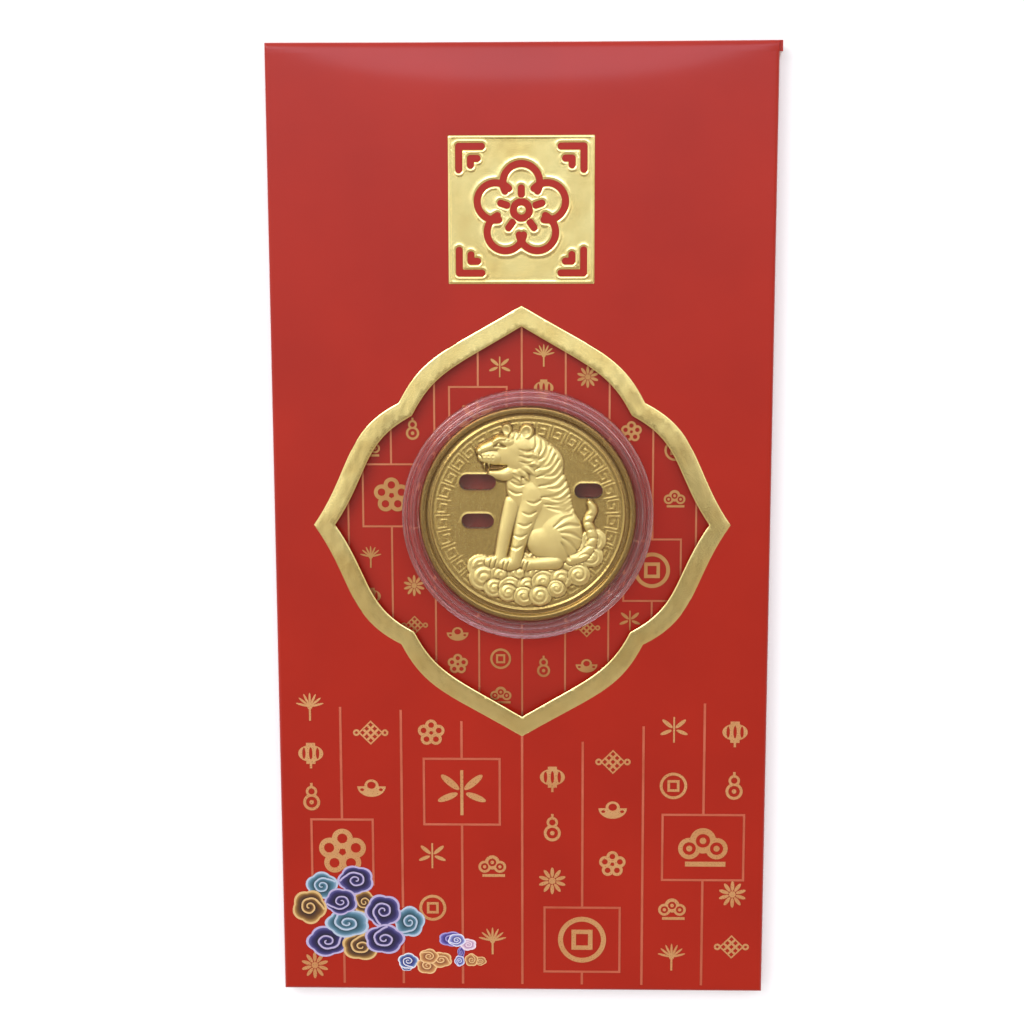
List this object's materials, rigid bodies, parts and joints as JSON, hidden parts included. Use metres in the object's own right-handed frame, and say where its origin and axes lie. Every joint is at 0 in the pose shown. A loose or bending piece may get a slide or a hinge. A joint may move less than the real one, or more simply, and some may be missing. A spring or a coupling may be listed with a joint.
{
  "type": "red gift envelope",
  "caption": "Upright red card gift envelope with a folded flap, gold foil print and a lobed window that shows a coin in a clear capsule on a loose insert card.",
  "frame": {"origin": "middle of the envelope's outline, on the surface that its back lies on", "axes": "+Z out of the printed front, +Y towards the flap end, +X to the right as the front is read"},
  "size_m": [0.0926, 0.178, 0.0075],
  "materials": {
    "red_card": "satin red laminated card",
    "insert_card": "satin red card",
    "gold_foil": "hot-stamped gold foil",
    "cloud_ink": "printed ink in indigo, teal and gold",
    "glue": "dried paper glue",
    "adhesive": "clear double-sided adhesive film",
    "clear_plastic": "clear moulded plastic",
    "coin_gold": "gold-plated struck relief"
  },
  "bodies": {
    "envelope": {"front_panel": "red_card", "left_wrap": "red_card", "right_wrap": "red_card", "seam_glue": "glue", "bottom_flap": "red_card", "bottom_glue": "glue", "foil_window_border": "gold_foil", "foil_square": "gold_foil", "foil_rules": "gold_foil", "foil_frames": "gold_foil", "foil_motifs": "gold_foil", "cloud_print": "cloud_ink"},
    "fold": {"flap_fold": "red_card"},
    "flap": {"closure_flap": "red_card"},
    "insert": {"insert_card": "insert_card", "insert_foil_rules": "gold_foil", "insert_foil_frames": "gold_foil", "insert_foil_motifs": "gold_foil", "capsule_pad": "adhesive", "capsule_base": "clear_plastic"},
    "lid": {"capsule_lid": "clear_plastic"},
    "coin": {"coin": "coin_gold"}
  },
  "joints": [
    {"name": "front_crease", "type": "hinge", "parent": "envelope", "child": "fold", "pos_m": [0, 0.0872, 0.00343], "axis": [1, 0, 0], "range_deg": [0, 90]},
    {"name": "back_crease", "type": "hinge", "parent": "fold", "child": "flap", "pos_m": [0, 0.0872, 0.00017], "axis": [1, 0, 0], "range_deg": [0, 90]},
    {"name": "insert_slide", "type": "slide", "parent": "envelope", "child": "insert", "axis": [0, 1, 0], "range_m": [-0.0025, 0.0025]},
    {"name": "lid_lift", "type": "slide", "parent": "insert", "child": "lid", "axis": [0, 0, 1], "range_m": [0, 0.015]},
    {"name": "coin_turn", "type": "hinge", "parent": "insert", "child": "coin", "pos_m": [0.0011, 0.004, 0.004], "axis": [0, 0, 1], "continuous": true}
  ]
}
